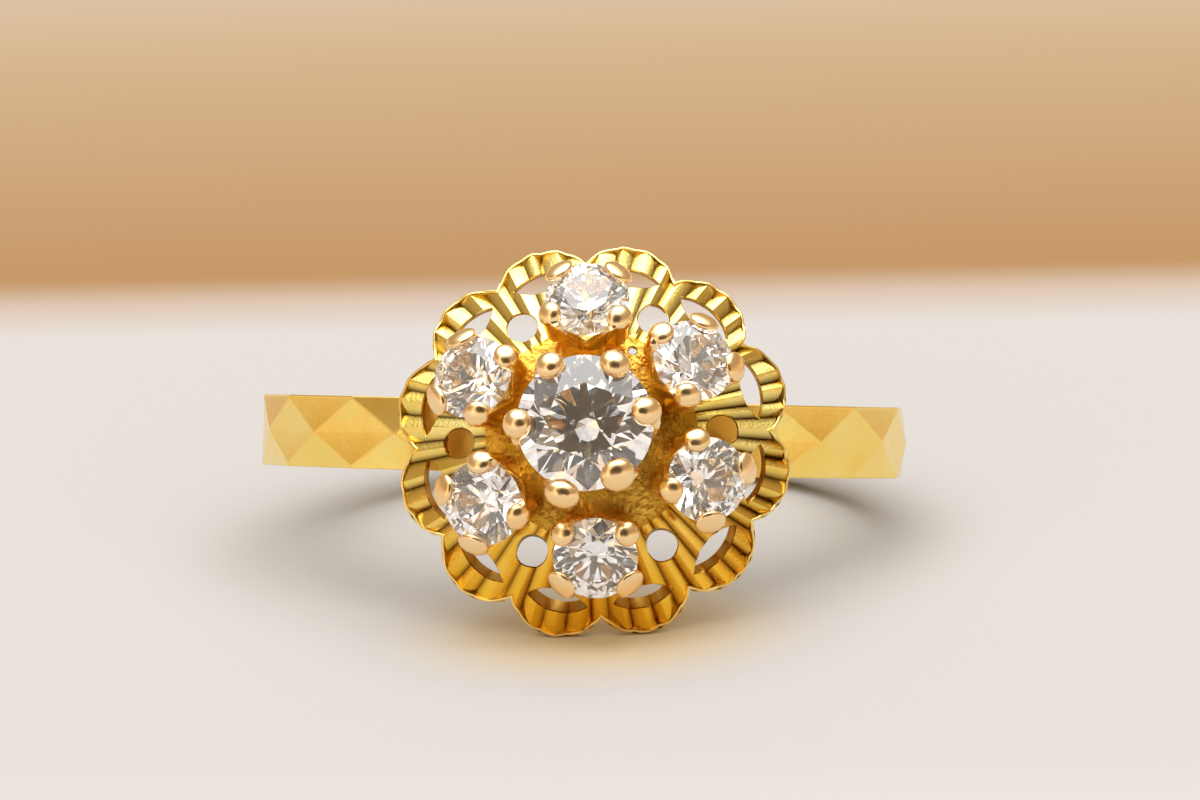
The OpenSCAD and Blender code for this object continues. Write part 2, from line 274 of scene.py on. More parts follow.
def gold_material(name, light, deep, rough, grain, strength, tone=None, groove_shade=None,
                  depth=0.00002, behind=None):
    """Gold with slow colour changes, uneven polish and a fine grain, in metres. Where a tone is given,
    the gold is painted this deep at the floor as painted shade, and loses it with height. Where a dark
    tone for the flutes is given, the gold is painted this dark at the bottoms of the flutes, as
    painted shade."""
    material, tree, shader = new_material(name)
    shader.inputs["Metallic"].default_value = 1.0
    place = tree.nodes.new("ShaderNodeTexCoord").outputs["Object"]
    colour = ramp(tree, noise(tree, COLOUR_SCALE, 2.0), [(0.35, deep), (0.65, light)])
    # Painted shade: the gold is painted deeper near the floor, for the darker warm floor that it
    # reflects
    if tone:
        low = soft_step(tree, along(tree, place, 0, 0, 1), *FLOOR_SHADE_FADE, 1.0, 0.0)
        colour = tint(tree, colour, tone, low)
    # Painted shade: the gold is painted darker at the bottoms of the flutes
    if groove_shade:
        line = tree.nodes.new("ShaderNodeAttribute")
        line.attribute_name = GROOVE_SHADE
        colour = tint(tree, colour, groove_shade, line.outputs["Fac"])
    tree.links.new(colour, shader.inputs["Base Color"])
    polish = spread(tree, noise(tree, POLISH_SCALE, 4.0), rough[0], rough[1])
    if behind:
        front, reach, dull = behind
        x = along(tree, place, 1, 0, 0)
        near = soft_step(tree, combine(tree, "MULTIPLY", x, x),
                         (reach - BEHIND_EDGE) ** 2, reach ** 2, dull, 0.0)
        fore = soft_step(tree, along(tree, place, 0, 1, 0), front - BEHIND_EDGE, front, 1.0, 0.0)
        polish = combine(tree, "MAXIMUM", polish, combine(tree, "MULTIPLY", near, fore))
    tree.links.new(polish, shader.inputs["Roughness"])
    normal = bump(tree, noise(tree, grain, 5.0), strength, depth)
    tree.links.new(normal, shader.inputs["Normal"])
    return material


def stone_material(name, clearness):
    """Clear cubic zirconia, with a barely seen cloudiness."""
    material, tree, shader = new_material(name)
    shader.inputs["Transmission Weight"].default_value = clearness
    shader.inputs["IOR"].default_value = 2.16
    shader.inputs["Roughness"].default_value = 0.0
    colour = ramp(tree, noise(tree, 900, 2.0), [(0.3, (0.97, 0.98, 1.0)), (0.7, (1.0, 1.0, 1.0))])
    tree.links.new(colour, shader.inputs["Base Color"])
    return material


# Each gold has its light and its deep colour, its least and most roughness, and the scale and
# strength of its grain
GOLD_CAST = gold_material(
    "gold_cast", (1.0, 0.77, 0.46), (1.0, 0.72, 0.38), (0.18, 0.3), 9000, 0.3)
# The lower walls of the crown and cups are painted darker, as painted shade in the recess
GOLD_WALL_SHADED = gold_material(
    "gold_wall_shaded", (0.88, 0.67, 0.28), (0.8, 0.57, 0.19), (0.14, 0.3), 6000, 0.6)
# The cut gold is painted deeper near the floor and darker at the bottoms of its flutes, both painted
# shade
GOLD_CUT = gold_material(
    "gold_cut", (1.0, 0.83, 0.34), (0.94, 0.72, 0.2), (0.08, 0.22), 11000, 0.5,
    tone=(1.0, 0.74, 0.2), groove_shade=(0.09, 0.045, 0.01))
GOLD_RIM = gold_material(
    "gold_rim", (1.0, 0.8, 0.36), (0.98, 0.72, 0.26), (0.22, 0.36), 9000, 0.4)
GOLD_BAND = gold_material(
    "gold_band", (1.0, 0.8, 0.28), (1.0, 0.75, 0.22), (0.12, 0.3), 6000, 0.25,
    behind=BEHIND_HEAD)
GOLD_BACK = gold_material(
    "gold_back", (1.0, 0.83, 0.42), (0.96, 0.76, 0.34), (0.3, 0.45), 4000, 0.3)
# The as-cast middle of the dome is rougher, and its gold is painted darker as the painted shade of the
# crown
GOLD_RAW_SHADED = gold_material(
    "gold_raw_shaded", (0.92, 0.57, 0.12), (0.55, 0.32, 0.04), (0.2, 0.36), 5500, 0.9, depth=0.00006)
# The walls of the windows and holes are painted dark, as painted shade
GOLD_PIERCED_SHADED = gold_material(
    "gold_pierced_shaded", (0.62, 0.38, 0.09), (0.36, 0.2, 0.03), (0.25, 0.4), 5000, 0.6)
CENTRE_STONE = stone_material("centre_zirconia", 0.99)
SIDE_STONE = stone_material("side_zirconia", 0.98)


# Flutes of the rosette

FLUTES = 52
FLUTE_TURN = 0.9
# The hand-cut flutes are closer on the right side than on the left one
FLUTE_CROWD = 6.0
FLUTE_DEPTH = 0.145
# Least and most turn of a line, and depth of a valley and of a ridge as parts of the usual one
LINE_TURN = (-0.85, 0.85)
VALLEY = (0.7, 1.25)
RIDGE = (-0.05, 0.14)
# Rise of a flute's face over a flat one, its least and most part in single faces, and where
# across a face the mesh follows this
FLUTE_SWELL = 0.013
SWELL_PART = (0.3, 1.6)
FLUTE_PARTS = (0.2, 0.5, 0.8)
# Reach of the painted shade at a flute's bottom to each side, as a part of a face, and what the right
# side adds to it
GROOVE_WIDTH = (0.6, 0.3)
# Darkness of the painted shade at the top and the bottom of the rosette, and what the two sides add to
# it
GROOVE_DARK = (0.6, 0.4)
# Power by which the painted shade fades away from the bottom of a flute
GROOVE_FADE = 1.8


class Flutes:
    """Hand-cut flutes that fan out from the top of the skirt: slightly rounded faces between
    ridges and valleys, a little uneven in width and depth."""

    def __init__(self, seed):
        rng = random.Random(seed)
        pitch = 180 / FLUTES
        self.lines = []
        for i in range(2 * FLUTES):
            angle = FLUTE_TURN + i * pitch
            angle += rng.uniform(*LINE_TURN) - FLUTE_CROWD * math.sin(math.radians(angle))
            fall = FLUTE_DEPTH * rng.uniform(*(VALLEY if i % 2 else RIDGE))
            self.lines.append((angle, math.tan(SLOPE) + fall / math.cos(SLOPE) / LOBE_AT))
        self.swells = [FLUTE_SWELL * rng.uniform(*SWELL_PART) / math.cos(SLOPE) / LOBE_AT
                       for _ in self.lines]

    def between(self, i):
        """Angle of a line and of the one after it."""
        here = self.lines[i][0]
        return here, self.lines[i + 1][0] if i + 1 < len(self.lines) else self.lines[0][0] + 360

    def groove_shade(self, angle):
        """How dark the surface is painted in a direction, as painted shade: only near the bottom of a
        flute.
        """
        near = min(abs((angle - low + 180) % 360 - 180) for low, _ in self.lines[1::2])
        across = math.cos(math.radians(angle))
        width = 180 / FLUTES * (GROOVE_WIDTH[0] + GROOVE_WIDTH[1] * max(0, across))
        dark = GROOVE_DARK[0] + GROOVE_DARK[1] * across ** 2
        return dark * max(0, 1 - near / width) ** GROOVE_FADE

    def slope(self, angle):
        """Fall of the surface per millimetre outward, in a direction in degrees."""
        angle = (angle - self.lines[0][0]) % 360 + self.lines[0][0]
        for i, (_, fall) in enumerate(self.lines):
            here, after = self.between(i)
            if here <= angle <= after:
                next_fall = self.lines[(i + 1) % len(self.lines)][1]
                span = math.radians(after - here)
                part = math.radians(angle - here)
                flat = (fall * math.sin(span - part) + next_fall * math.sin(part)) / math.sin(span)
                return flat - self.swells[i] * 4 * part / span * (1 - part / span)
        return math.tan(SLOPE)


FLUTED = Flutes(FLUTE_SEED)


# Surface of the dome

def cap_z(r):
    return CAP_Z + math.sqrt(CAP_R ** 2 - r * r)


def under_cap(z, r):
    """Height at a radius, cut off by the cap."""
    return min(z, cap_z(r)) if r < CAP_REACH else z


def plain_z(x, y):
    """Height of the dome without its flutes."""
    r = math.hypot(x, y)
    return under_cap(SKIRT_TOP - r * math.tan(SLOPE), r)


def fluted_z(x, y):
    r = math.hypot(x, y)
    return under_cap(SKIRT_TOP - r * FLUTED.slope(math.degrees(math.atan2(y, x))), r)


def dome_normal(x, y):
    r = math.hypot(x, y)
    if r < 1e-6:
        return Vector((0, 0, 1))
    tilt = SLOPE if r >= CAP_EDGE_R else math.asin(r / CAP_R)
    return Vector((math.sin(tilt) * x / r, math.sin(tilt) * y / r, math.cos(tilt)))


def on_skirt(direction, distance, u, v, steps=6):
    """Point of the plain skirt at u outward down its slope and v across it, from the middle of
    a lobe. A few steps take it from the plane that touches the skirt there to the skirt."""
    a = math.radians(direction)
    ca, sa, cs, ss = math.cos(a), math.sin(a), math.cos(SLOPE), math.sin(SLOPE)
    middle = Vector((distance * ca, distance * sa, SKIRT_TOP - distance * math.tan(SLOPE)))
    p = middle + u * Vector((cs * ca, cs * sa, -ss)) + v * Vector((-sa, ca, 0))
    n = Vector((ss * ca, ss * sa, cs))
    for _ in range(steps):
        p -= n * cs * (p.z - SKIRT_TOP + math.hypot(p.x, p.y) * math.tan(SLOPE))
    return p


# Outlines on the dome

# The notch beside a lobe lies between these angles of its arc, and is found by halving
NOTCH_BETWEEN = (20.0, 90.0)
NOTCH_HALVINGS = 30


def lobe_arc(k, margin, steps):
    """Points of a lobe's arc between its two notches, drawn in by a margin."""
    direction = LOBE_FIRST + k * LOBE_STEP
    r = LOBE_R - margin

    def at(turned):
        t = math.radians(turned)
        return on_skirt(direction, LOBE_AT, r * math.cos(t), r * math.sin(t))

    def reach(turned):
        p = at(turned)
        off = math.degrees(math.atan2(p.y, p.x)) - direction
        return (off + 180) % 360 - 180

    low, high = NOTCH_BETWEEN
    for _ in range(NOTCH_HALVINGS):
        mid = (low + high) / 2
        low, high = (mid, high) if reach(mid) < LOBE_STEP / 2 else (low, mid)
    return [at(-low + 2 * low * i / steps) for i in range(steps + 1)]


def outline(margin, steps):
    points = []
    for k in range(LOBES):
        points += lobe_arc(k, margin, steps)[:-1]
    return points


# How far outward a window's two tips lie from the middle of its lobe
WINDOW_TIP = 0.31
# Rows: half the length of a window, how far outward its outer and its inner side bow, and its
# lean. Columns: usual value, least and most that single windows add
WINDOW_SIZES = [(0.92, -0.04, 0.04), (0.65, -0.03, 0.02), (-0.1, -0.06, 0.06), (0, -0.06, 0.06)]


def window_loop(k, rng, steps=18):
    """Almond window of a lobe, between two arcs. Its inner side is a little uneven."""
    direction = LOBE_FIRST + k * LOBE_STEP
    half, outer, inner, lean = [size + rng.uniform(least, most) for size, least, most in WINDOW_SIZES]
    points = []
    for crest, sign in ((outer, 1), (inner, -1)):
        rise = abs(crest - WINDOW_TIP)
        r = (half * half + rise * rise) / (2 * rise)
        for i in range(steps):
            v = sign * (-half + 2 * half * i / steps)
            bow = math.sqrt(r * r - v * v) - (r - rise)
            points.append(on_skirt(direction, LOBE_AT, WINDOW_TIP + sign * bow + lean * v, v))
    return points


# Number of waves round a hole's edge, and the most of each as a part of the radius
HOLE_WAVES = 3
HOLE_WOBBLE = 0.025


def hole_loop(direction, distance, r, rng, steps=28):
    """Round hole drilled along the head's axis, a little uneven, as points seen from the front."""
    wobble = [(rng.uniform(0, HOLE_WOBBLE), rng.uniform(0, 2 * math.pi)) for _ in range(HOLE_WAVES)]
    middle = polar(distance, direction, 0)
    points = []
    for i in range(steps):
        t = 2 * math.pi * i / steps
        grown = r * (1 + sum(w * math.cos((j + 2) * t + p) for j, (w, p) in enumerate(wobble)))
        points.append((middle.x + grown * math.cos(t), middle.y + grown * math.sin(t)))
    return points


def circle(x, y, r, steps):
    return [(x + r * math.cos(i / steps * math.tau), y + r * math.sin(i / steps * math.tau))
            for i in range(steps)]


def voids_of_plate():
    """Outlines of the windows, the round holes and the pin hole, seen from the front."""
    rng = random.Random(WINDOW_SEED)
    voids = [[(p.x, p.y) for p in window_loop(k, rng)] for k in range(LOBES)]
    voids += [hole_loop(k * HOLE_STEP, distance, HOLE_R, rng) for k, distance in enumerate(HOLE_AT)]
    distance, direction = PIN_HOLE_AT
    a = math.radians(direction)
    voids.append(circle(distance * math.cos(a), distance * math.sin(a), PIN_HOLE_R, 16))
    return voids


def inside(point, loop):
    x, y = point
    odd = False
    for i, (x1, y1) in enumerate(loop):
        x2, y2 = loop[i - 1]
        if (y1 > y) != (y2 > y) and x < (x2 - x1) * (y - y1) / (y2 - y1) + x1:
            odd = not odd
    return odd


# Plate and rim of the rosette

# Radii of the rings that the mesh of the dome follows, and of the points of its rays
MESH_RINGS = (0.6, 1.1, 1.6, 2.05, 2.45, 2.85, RAW_R, CAP_EDGE_R)
MESH_RAY = (2.85, RAW_R, CAP_EDGE_R, 6.0)
# Materials of the plate, and their places in this list
PLATE_MATERIALS = [GOLD_CUT, GOLD_RAW_SHADED, GOLD_BACK, GOLD_PIERCED_SHADED]
CUT, RAW_SHADED, BACK, PIERCED_SHADED = range(4)
RIM_W = 0.1
RIM_RISE = 0.03
RIM_LAP = 0.045
# How far a flute draws the edge in, and the part of its depth by which it lowers the edge
RIM_PULL = 0.04
RIM_SINK = 0.35
PLATE_BEVEL = 0.025
# Outside this radius lie the windows. Their walls are nearer to square at the bottom of the
# rosette, and the outer ones slant inwards there, by at most this much.
WINDOW_R = 4.2
WINDOW_SQUARE = 0.35
WINDOW_BEVEL = 0.08


def mesh_lines(loops):
    """Points and edges of the outlines, and of the rays along the flutes."""
    points, edges = [], []
    for loop in loops:
        first = len(points)
        points += [Vector(p) for p in loop]
        edges += [(first + i, first + (i + 1) % len(loop)) for i in range(len(loop))]
    for i in range(len(FLUTED.lines)):
        here, after = FLUTED.between(i)
        for part in (0, *FLUTE_PARTS):
            t = math.radians(here + (after - here) * part)
            first = len(points)
            points += [Vector((r * math.cos(t), r * math.sin(t))) for r in MESH_RAY]
            edges += [(first + j, first + j + 1) for j in range(len(MESH_RAY) - 1)]
    return points, edges


def rosette_plate():
    """The domed, fluted and pierced plate, without its rim."""
    border = [(p.x, p.y) for p in outline(RIM_W - RIM_LAP, 20)]
    voids = voids_of_plate()
    rings = [circle(0, 0, r, 48) for r in MESH_RINGS]
    points, edges = mesh_lines([border] + voids + rings)
    flat, _, faces, _, _, _ = delaunay_2d_cdt(points, edges, [], 0, 1e-4)
    bm = bmesh.new()
    groove_shade = bm.verts.layers.float.new(GROOVE_SHADE)
    top = [bm.verts.new((p.x, p.y, fluted_z(p.x, p.y))) for p in flat]
    # Each vertex keeps how dark it is painted, as painted shade at the bottoms of the flutes
    for v in top:
        v[groove_shade] = FLUTED.groove_shade(math.degrees(math.atan2(v.co.y, v.co.x)))
    for face in faces:
        middle = tuple(sum(flat[i][j] for i in face) / 3 for j in (0, 1))
        if inside(middle, border) and not any(inside(middle, loop) for loop in voids):
            cut = bm.faces.new([top[i] for i in face])
            # The as-cast middle gets the gold that is painted darker, as painted shade of the crown
            cut.material_index = RAW_SHADED if math.hypot(*middle) < RAW_R else CUT
    bmesh.ops.delete(bm, geom=[v for v in bm.verts if not v.link_faces], context="VERTS")
    bm.normal_update()
    thicken(bm, border)
    return bm


def outward_of_edges(edges):
    """Direction out of the plate at each vertex of its edges."""
    away = {}
    for e in edges:
        face = e.link_faces[0]
        a, b = e.verts
        out = (b.co - a.co).cross(Vector((0, 0, 1)))
        if out.dot((a.co + b.co) / 2 - face.calc_center_median()) < 0:
            out = -out
        for v in (a, b):
            away[v] = away.get(v, Vector()) + out.normalized()
    return away


def on_border(point, border):
    return min((point.x - x) ** 2 + (point.y - y) ** 2 for x, y in border) < 1e-6


def wall_foot(v, step, n, thick, border):
    """Foot of the wall below a vertex of the plate's edges, from which the step leads out."""
    plain = Vector((v.co.x, v.co.y, plain_z(v.co.x, v.co.y)))
    low = plain - n * thick + step
    if on_border(v.co, border):
        return low
    r = v.co.to_2d().length
    sunk = max(0, -v.co.y / r)
    square = WINDOW_SQUARE + (1 - WINDOW_SQUARE) * sunk if r > WINDOW_R else 0
    straight = plain + step - Vector((0, 0, thick / math.cos(SLOPE)))
    low = straight.lerp(low, square)
    outward = Vector((v.co.x, v.co.y, 0)) / r
    if step.dot(outward) < 0 and r > WINDOW_R:
        low = low - outward * WINDOW_BEVEL * sunk
    return low


def thicken(bm, border):
    """Gives the dome its thickness. Its border is square to it, and its holes and windows
    are cut along the head's axis, all with a small bevel round them."""
    tops = list(bm.verts)
    edges = [e for e in bm.edges if e.is_boundary]
    away = outward_of_edges(edges)
    below, shoulder = {}, {}
    for v in tops:
        n = dome_normal(v.co.x, v.co.y)
        thick = PLATE_T * (1 - PLATE_SWELL * v.co.y / ROSETTE_R)
        if v in away:
            step = away[v].normalized() * PLATE_BEVEL
            shoulder[v] = bm.verts.new(v.co + step - n * PLATE_BEVEL)
            low = wall_foot(v, step, n, thick, border)
        else:
            low = Vector((v.co.x, v.co.y, plain_z(v.co.x, v.co.y))) - n * thick
        below[v] = bm.verts.new(low)
    for face in list(bm.faces):
        bm.faces.new([below[v] for v in reversed(face.verts)]).material_index = BACK
    for e in edges:
        a, b = e.verts
        if e.link_loops[0].vert is not a:
            a, b = b, a
        bm.faces.new([b, a, shoulder[a], shoulder[b]])
        # The walls of the windows and holes get the gold that is painted dark, as painted shade
        wall = bm.faces.new([shoulder[b], shoulder[a], below[a], below[b]])
        wall.material_index = PIERCED_SHADED


def rosette_rim(steps=36):
    """Plain bright edge that runs round the lobes, as a strip with a rounded top."""
    profile = [  # part of the way in from the outer side, height above the skirt
        (0.0, -PLATE_T), (0.0, -0.07), (0.1, -0.01), (0.3, RIM_RISE * 0.8), (0.6, RIM_RISE),
        (0.9, RIM_RISE * 0.6), (1.0, -0.02), (1.0, -PLATE_T),
    ]
    bm = bmesh.new()
    rows = []
    for o, i in zip(outline(0, steps), outline(RIM_W, steps)):
        n = dome_normal(o.x, o.y)
        angle = math.degrees(math.atan2(o.y, o.x))
        dip = (FLUTED.slope(angle) - math.tan(SLOPE)) * LOBE_AT * math.cos(SLOPE)
        pull = RIM_PULL * dip / FLUTE_DEPTH * (i - o).normalized()
        o, i = o + pull, i + pull
        row = []
        for part, height in profile:
            sink = 0.0 if height == -PLATE_T else RIM_SINK * dip
            row.append(bm.verts.new(o.lerp(i, part) + n * (height - sink)))
        rows.append(row)
    for j, row in enumerate(rows):
        after = rows[(j + 1) % len(rows)]
        for k in range(len(profile)):
            m = (k + 1) % len(profile)
            bm.faces.new([row[k], row[m], after[m], after[k]])
    bmesh.ops.recalc_face_normals(bm, faces=bm.faces)
    return bm


# Stones

# Height of half the girdle as a part of the width, and radii of the table, of the star
# facets' points and of the lower girdle facets' points as parts of the stone's radius
GIRDLE = 0.015
TABLE = 0.56
STAR = 0.78
LOWER = 0.24
CROWN_ANGLE = math.radians(34.5)
PAVILION_ANGLE = math.radians(40.8)


def through(a, b, c):
    """Plane through three points, as (outward normal, distance)."""
    n = (b - a).cross(c - a).normalized()
    if n.dot(a) < 0:
        n = -n
    return n, n.dot(a)


def brilliant_planes(d):
    """Facet planes of a round brilliant as (outward normal, distance)."""
    r, g = d / 2, d * GIRDLE
    crown, pavilion = CROWN_ANGLE, PAVILION_ANGLE
    table_r, star_r, lower_r = r * TABLE, r * STAR, r * LOWER
    half = math.cos(math.radians(22.5))
    table_z = g + (r - table_r) * math.tan(crown)
    star_z = g + (r - star_r * half) * math.tan(crown)
    lower_z = -g - (r - lower_r * half) * math.tan(pavilion)
    planes = [(Vector((0, 0, 1)), table_z)]
    for k in range(8):
        a = 45 * k
        planes.append((polar(math.sin(crown), a, math.cos(crown)),
                       r * math.sin(crown) + g * math.cos(crown)))
        planes.append((polar(math.sin(pavilion), a, -math.cos(pavilion)),
                       r * math.sin(pavilion) + g * math.cos(pavilion)))
        star = polar(star_r, a + 22.5, star_z)
        planes.append(through(polar(table_r, a, table_z), polar(table_r, a + 45, table_z), star))
        low = polar(lower_r, a + 22.5, lower_z)
        for side in (0, 45):
            planes.append(through(star, polar(r, a + side, g), polar(r, a + 22.5, g)))
            planes.append(through(low, polar(r, a + side, -g), polar(r, a + 22.5, -g)))
    return planes


def brilliant(d, spin, sides=96):
    """Round brilliant, cut out of a cylinder by its facet planes."""
    bm = bmesh.new()
    bmesh.ops.create_cone(bm, cap_ends=True, segments=sides, radius1=d / 2, radius2=d / 2, depth=d * 2)
    for normal, distance in brilliant_planes(d):
        everything = list(bm.verts) + list(bm.edges) + list(bm.faces)
        cut = bmesh.ops.bisect_plane(bm, geom=everything, dist=1e-6, plane_co=normal * distance,
                                     plane_no=normal, clear_outer=True)["geom_cut"]
        rim = [e for e in cut if isinstance(e, bmesh.types.BMEdge)]
        if rim:
            bmesh.ops.holes_fill(bm, edges=rim, sides=0)
    bmesh.ops.recalc_face_normals(bm, faces=bm.faces)
    bmesh.ops.rotate(bm, matrix=Matrix.Rotation(math.radians(spin), 3, "Z"), verts=bm.verts)
    return bm


# Crown and cups

class Holder:
    """Sizes of the crown or of a cup, with heights from the stone's girdle. They are the radii
    of its foot and girdle, its depth, the depth and half width of the notches in its wall, the
    radius of a claw's stem, and the height and radius of the stem's foot. Then come the height
    of a claw's tip, its size out from the stone, along the stone's edge and up, and the lean
    of its flat face."""

    def __init__(self, foot_r, girdle_r, depth, notch, half, stem, claw_z, claw_r,
                 tip_z, tip, tip_lean):
        self.foot_r, self.girdle_r, self.depth = foot_r, girdle_r, depth
        self.notch, self.half, self.stem = notch, half, stem
        self.claw_z, self.claw_r = claw_z, claw_r
        self.tip_z, self.tip, self.tip_lean = tip_z, tip, tip_lean

    def radius(self, z):
        return self.foot_r + (self.girdle_r - self.foot_r) * (z + self.depth) / self.depth


CROWN = Holder(
    foot_r=1.3, girdle_r=2.08, depth=2.65, notch=1.35, half=0.72, stem=0.31,
    claw_z=-1.9, claw_r=1.42, tip_z=0.24, tip=(1.0, 1.0, 0.72), tip_lean=32)
CUP = Holder(
    foot_r=0.75, girdle_r=1.33, depth=1.62, notch=0.95, half=0.74, stem=0.27,
    claw_z=-1.0, claw_r=0.98, tip_z=0.14, tip=(0.75, 0.77, 0.46), tip_lean=34)
# The claws of a cup that stand away from the head's middle have flatter tips that lean more
OUTER_TIP = (0.84, 0.94, 0.34)
OUTER_LEAN = 38
CUP_TIP_AT = 1.2
# Width of single tips as a part of the usual one, and what single tips lean more, in degrees
TIP_PART = (0.95, 1.04)
TIP_LEAN_MORE = (-4, 4)
# How much wider a claw's stem is at its foot
STEM_TAPER = 1.25
# Above this height a holder has the paler gold of the claws' pads. Below it the wall's gold is painted
# darker, as painted shade in the recess.
PAD_FROM_Z = -0.12
# Thickness of a holder's wall, height of its edge above the girdle, and thickness of its floor
WALL = 0.22
WALL_UP = 0.2
FLOOR_T = 0.4
# A notch ends this many degrees to each side of its middle at the latest
NOTCH_REACH = 80
# Mesh size of the fused holders, and number of passes that smooth them
CROWN_VOXEL = 0.045
CUP_VOXEL = 0.04
SMOOTHING = 4
# Least gap between a holder and a stone, and distance from the middle of a stone's girdle, in
# radii, beyond which nothing of it lies
STONE_GAP = 0.012
STONE_REACH = 1.3


def wall_top(holder, angle, directions):
    """Height of the wall's edge, lowest in the middle between two claws."""
    top = WALL_UP
    for k, here in enumerate(directions):
        gap = (directions[(k + 1) % len(directions)] - here) % 360
        off = (angle - here - gap / 2 + 180) % 360 - 180
        if abs(off) < NOTCH_REACH:
            across = abs(holder.girdle_r * math.sin(math.radians(off)))
            rise = (holder.notch + WALL_UP) / holder.half
            top = min(top, -holder.notch + across * rise)
    return top


def notched_wall(bm, holder, directions, steps=144, rows=6):
    """Cone with a thin wall, a floor, and a notch in its edge between each two claws."""
    low = -holder.depth
    bottom, floor_middle = bm.verts.new((0, 0, low)), bm.verts.new((0, 0, low + FLOOR_T))
    rings = []
    for i in range(steps):
        angle = 360 * i / steps
        top = wall_top(holder, angle, directions)
        ring = [bm.verts.new(polar(holder.radius(z), angle, z))
                for z in (low + (top - low) * j / rows for j in range(rows + 1))]
        ring += [bm.verts.new(polar(holder.radius(z) - WALL, angle, z))
                 for z in (top + (low + FLOOR_T - top) * j / rows for j in range(rows + 1))]
        rings.append(ring)
    for i, ring in enumerate(rings):
        after = rings[(i + 1) % steps]
        bm.faces.new([bottom, after[0], ring[0]])
        bm.faces.new([floor_middle, ring[-1], after[-1]])
        for j in range(len(ring) - 1):
            bm.faces.new([ring[j], after[j], after[j + 1], ring[j + 1]])


def claw(bm, holder, direction, tip_at, out, along_edge, rng):
    """Tapered stem that leans out from its foot, with a smooth pad over the stone's edge."""
    foot = Vector((holder.claw_r, 0, holder.claw_z))
    tip = Vector((tip_at, 0, holder.tip_z))
    reach = tip - foot
    lean = math.degrees(math.atan2(reach.x, reach.z))
    spun = turn("Z", direction)
    bmesh.ops.create_cone(
        bm, cap_ends=True, segments=24, radius1=holder.stem * STEM_TAPER, radius2=holder.stem,
        depth=reach.length, matrix=spun @ Matrix.Translation((foot + tip) / 2) @ turn("Y", lean))
    outer = holder is CUP and abs(direction) < 90
    widths = OUTER_TIP if outer else holder.tip
    size = [width / 2 * part * rng.uniform(*TIP_PART)
            for width, part in zip(widths, (out, along_edge, 1))]
    pad_lean = (OUTER_LEAN if outer else holder.tip_lean) + rng.uniform(*TIP_LEAN_MORE)
    pad = spun @ Matrix.Translation(tip) @ turn("Y", pad_lean) @ Matrix.Diagonal((*size, 1))
    bmesh.ops.create_icosphere(bm, subdivisions=4, radius=1, matrix=pad)


def fused(bm, voxel):
    """One skin round overlapping closed shapes, smoothed as a cast and polished piece is."""
    mesh = bpy.data.meshes.new("rough")
    bm.to_mesh(mesh)
    bm.free()
    obj = bpy.data.objects.new("rough", mesh)
    bpy.context.scene.collection.objects.link(obj)
    remesh = obj.modifiers.new("skin", "REMESH")
    remesh.mode = "VOXEL"
    remesh.voxel_size = voxel
    ironed = obj.modifiers.new("iron", "SMOOTH")
    ironed.factor = 0.5
    ironed.iterations = SMOOTHING
    bpy.context.view_layer.update()
    skin = bpy.data.meshes.new_from_object(obj.evaluated_get(bpy.context.evaluated_depsgraph_get()))
    bpy.data.objects.remove(obj)
    bpy.data.meshes.remove(mesh)
    out = bmesh.new()
    out.from_mesh(skin)
    bpy.data.meshes.remove(skin)
    return out


def clear_stones(bm, matrix, seats):
    """Moves what would lie inside a stone out to its surface. Points are in the frame that
    matrix sets into the head's."""
    for stone_matrix, planes, radius in seats:
        into = stone_matrix.inverted() @ matrix
        back = into.inverted()
        for v in bm.verts:
            p = into @ v.co
            if p.length > radius * STONE_REACH:
                continue
            side = radius - math.hypot(p.x, p.y)
            best, way = STONE_GAP + side, Vector((p.x, p.y, 0)).normalized()
            for normal, distance in planes:
                depth = distance + STONE_GAP - normal.dot(p)
                if depth < best:
                    best, way = depth, normal
            if best > 0:
                v.co = back @ (p + way * best)


def build_holder(name, holder, matrix, claws, voxel, seats, seed):
    rng = random.Random(seed)
    bm = bmesh.new()
    notched_wall(bm, holder, [row[0] for row in claws])
    for row in claws:
        claw(bm, holder, *row, rng)
    bm = fused(bm, voxel)
    clear_stones(bm, matrix, seats)
    # Below the pads, the wall gets the gold that is painted darker as shade
    for face in bm.faces:
        face.material_index = 0 if face.calc_center_median().z > PAD_FROM_Z else 1
    piece(bm, name, HEAD @ matrix, [GOLD_CAST, GOLD_WALL_SHADED], ["gold_ring"], sharp_deg=60)


# Finger band

# Small offset of the crossings in the middle of the band, to each side
BAND_UNEVEN = 0.05
INNER_PARTS = 8
# Rounding of the band's long edges, and width of the bevel between two facets
BAND_ROUNDING = 0.07
CREASE_W = 0.03
# An edge between two facets lies outside this radius, is longer than this, and turns by an
# angle between these two
CREASE_FROM_R = 9.2
CREASE_MIN = 0.5
CREASE_TURN = (0.1, 0.6)


def on_band(r, degrees, z):
    """Point in the band's frame, in a direction that is zero where the head sits."""
    a = math.radians(degrees)
    return Vector((r * math.sin(a), -r * math.cos(a), z))


def is_long_edge(e):
    return (all(abs(abs(v.co.z) - BAND_W / 2) < 1e-6 for v in e.verts) and len(e.link_faces) == 2
            and abs(e.link_faces[0].normal.dot(e.link_faces[1].normal)) < 0.5)


def is_crease(e):
    return (e.is_manifold and CREASE_TURN[0] < e.calc_face_angle(0) < CREASE_TURN[1]
            and e.verts[0].co.to_2d().length > CREASE_FROM_R and e.calc_length() > CREASE_MIN)


